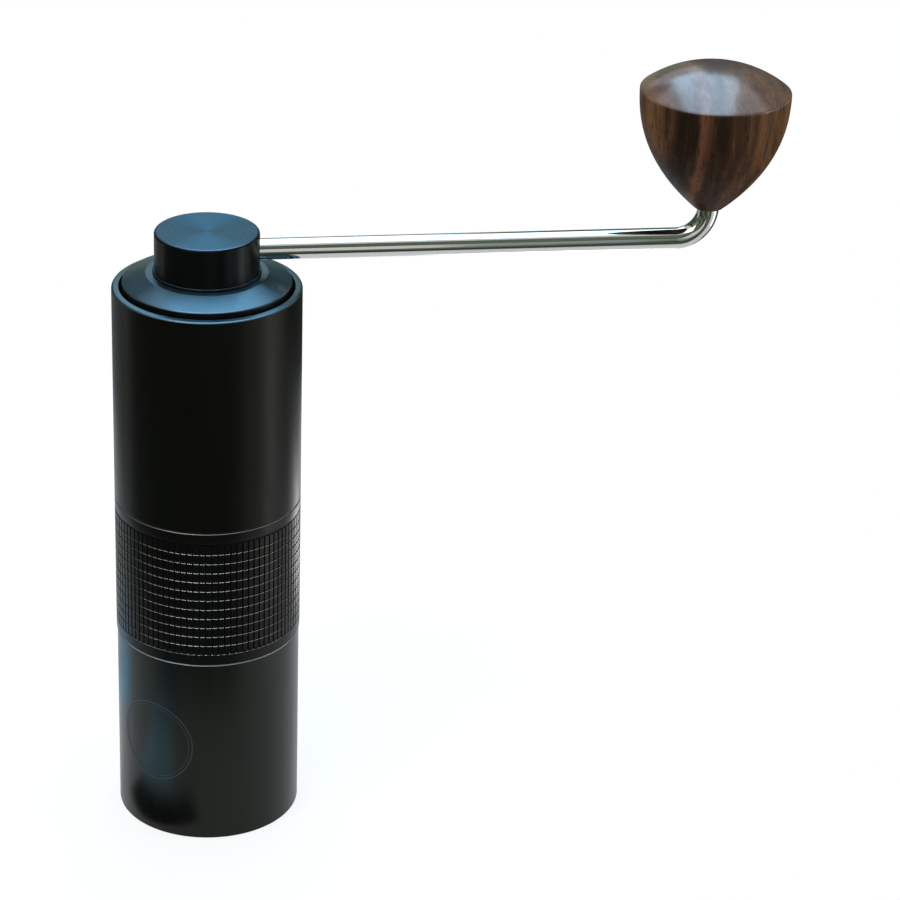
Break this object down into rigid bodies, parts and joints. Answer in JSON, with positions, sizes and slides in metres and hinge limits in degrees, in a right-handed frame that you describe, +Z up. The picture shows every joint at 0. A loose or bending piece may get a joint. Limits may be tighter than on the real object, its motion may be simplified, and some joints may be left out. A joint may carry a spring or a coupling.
{
  "type": "hand crank coffee grinder",
  "caption": "Slim cylindrical hand coffee grinder with a bent steel crank and wooden knob, padded grip band, plug lid, conical burrs and a pull-off catch cup.",
  "frame": {"origin": "centre of the catch cup's flat foot, on the shaft's axis", "axes": "+Z up along the shaft; +X along the crank arm towards the knob at rest"},
  "size_m": [0.188, 0.053, 0.2248],
  "materials": {
    "cup_anodised": "satin black anodised",
    "body_anodised": "satin black anodised",
    "grip_anodised": "satin black anodised, machined pads",
    "lid_anodised": "satin black anodised, turned",
    "hub_anodised": "satin black anodised, turned",
    "dial_anodised": "satin dark grey anodised",
    "bridge_aluminium": "machined",
    "polished_steel": "mirror polished stainless steel",
    "brushed_steel": "brushed stainless steel",
    "shaft_steel": "ground stainless steel",
    "burr_steel": "hardened and ground",
    "bearing_steel": "ground bearing steel",
    "ball_steel": "polished bearing steel",
    "spring_steel": "oiled spring steel",
    "screw_steel": "plain steel",
    "nickel_plate": "nickel plated magnet",
    "cover_plastic": "moulded black",
    "carrier_plastic": "moulded black, glass filled",
    "bush_plastic": "turned white bearing plastic",
    "seal_rubber": "matt silicone rubber",
    "knob_walnut": "oiled dark walnut",
    "brass": "turned"
  },
  "bodies": {
    "cup": {"catch_cup": "cup_anodised", "cup_steel_ring": "brushed_steel"},
    "body": {"upper_tube": "body_anodised", "grip_body": "grip_anodised", "upper_bridge": "bridge_aluminium", "bridge_snap_ring": "spring_steel", "lower_bridge": "bridge_aluminium", "upper_bearing_outer_race": "bearing_steel", "lower_bearing_outer_race": "bearing_steel", "upper_bearing_cover": "cover_plastic", "lower_bearing_cover": "cover_plastic", "ring_burr": "burr_steel", "magnet_ring": "carrier_plastic", "cup_magnets": "nickel_plate", "burr_screws": "screw_steel"},
    "rotor": {"drive_shaft": "shaft_steel", "shaft_circlips": "spring_steel", "shaft_end_clip": "spring_steel", "upper_bearing_inner_race": "bearing_steel", "lower_bearing_inner_race": "bearing_steel", "upper_bearing_balls": "ball_steel", "lower_bearing_balls": "ball_steel", "spring_washer": "brushed_steel", "burr_spring": "spring_steel"},
    "burr": {"cone_burr": "burr_steel", "click_balls": "ball_steel", "click_springs": "spring_steel"},
    "dial": {"adjusting_dial": "dial_anodised"},
    "lid": {"lid": "lid_anodised", "lid_seal": "seal_rubber", "lid_bush": "bush_plastic"},
    "crank": {"crank_hub": "hub_anodised", "drive_socket": "brushed_steel", "hub_circlip": "spring_steel", "arm_set_screw": "screw_steel", "crank_arm": "polished_steel", "knob_clip": "spring_steel"},
    "knob": {"knob_wood": "knob_walnut", "knob_bush": "brass"}
  },
  "joints": [
    {"name": "cup_release", "type": "slide", "parent": "cup", "child": "body", "axis": [0, 0, 1], "range_m": [0, 0.06]},
    {"name": "crank_turn", "type": "hinge", "parent": "body", "child": "rotor", "pos_m": [0, 0, 0.11], "axis": [0, 0, 1], "continuous": true},
    {"name": "handle_lift", "type": "slide", "parent": "rotor", "child": "crank", "axis": [0, 0, 1], "range_m": [0, 0.04]},
    {"name": "lid_lift", "type": "slide", "parent": "body", "child": "lid", "axis": [0, 0, 1], "range_m": [0, 0.04]},
    {"name": "knob_spin", "type": "hinge", "parent": "crank", "child": "knob", "pos_m": [0.1405, 0, 0.2], "axis": [0, 0, 1], "continuous": true},
    {"name": "burr_travel", "type": "slide", "parent": "rotor", "child": "burr", "axis": [0, 0, 1], "range_m": [-0.0015, 0.0003], "deforming": ["burr_spring"]},
    {"name": "dial_turn", "type": "hinge", "parent": "burr", "child": "dial", "pos_m": [0, 0, 0.0635], "axis": [0, 0, 1], "range_deg": [-720, 144]}
  ],
  "couplings": [
    {"joint": "lid_lift", "follows": "handle_lift", "ratio": 1},
    {"joint": "dial_turn", "follows": "burr_travel", "rad_per_m": 8377.6}
  ]
}
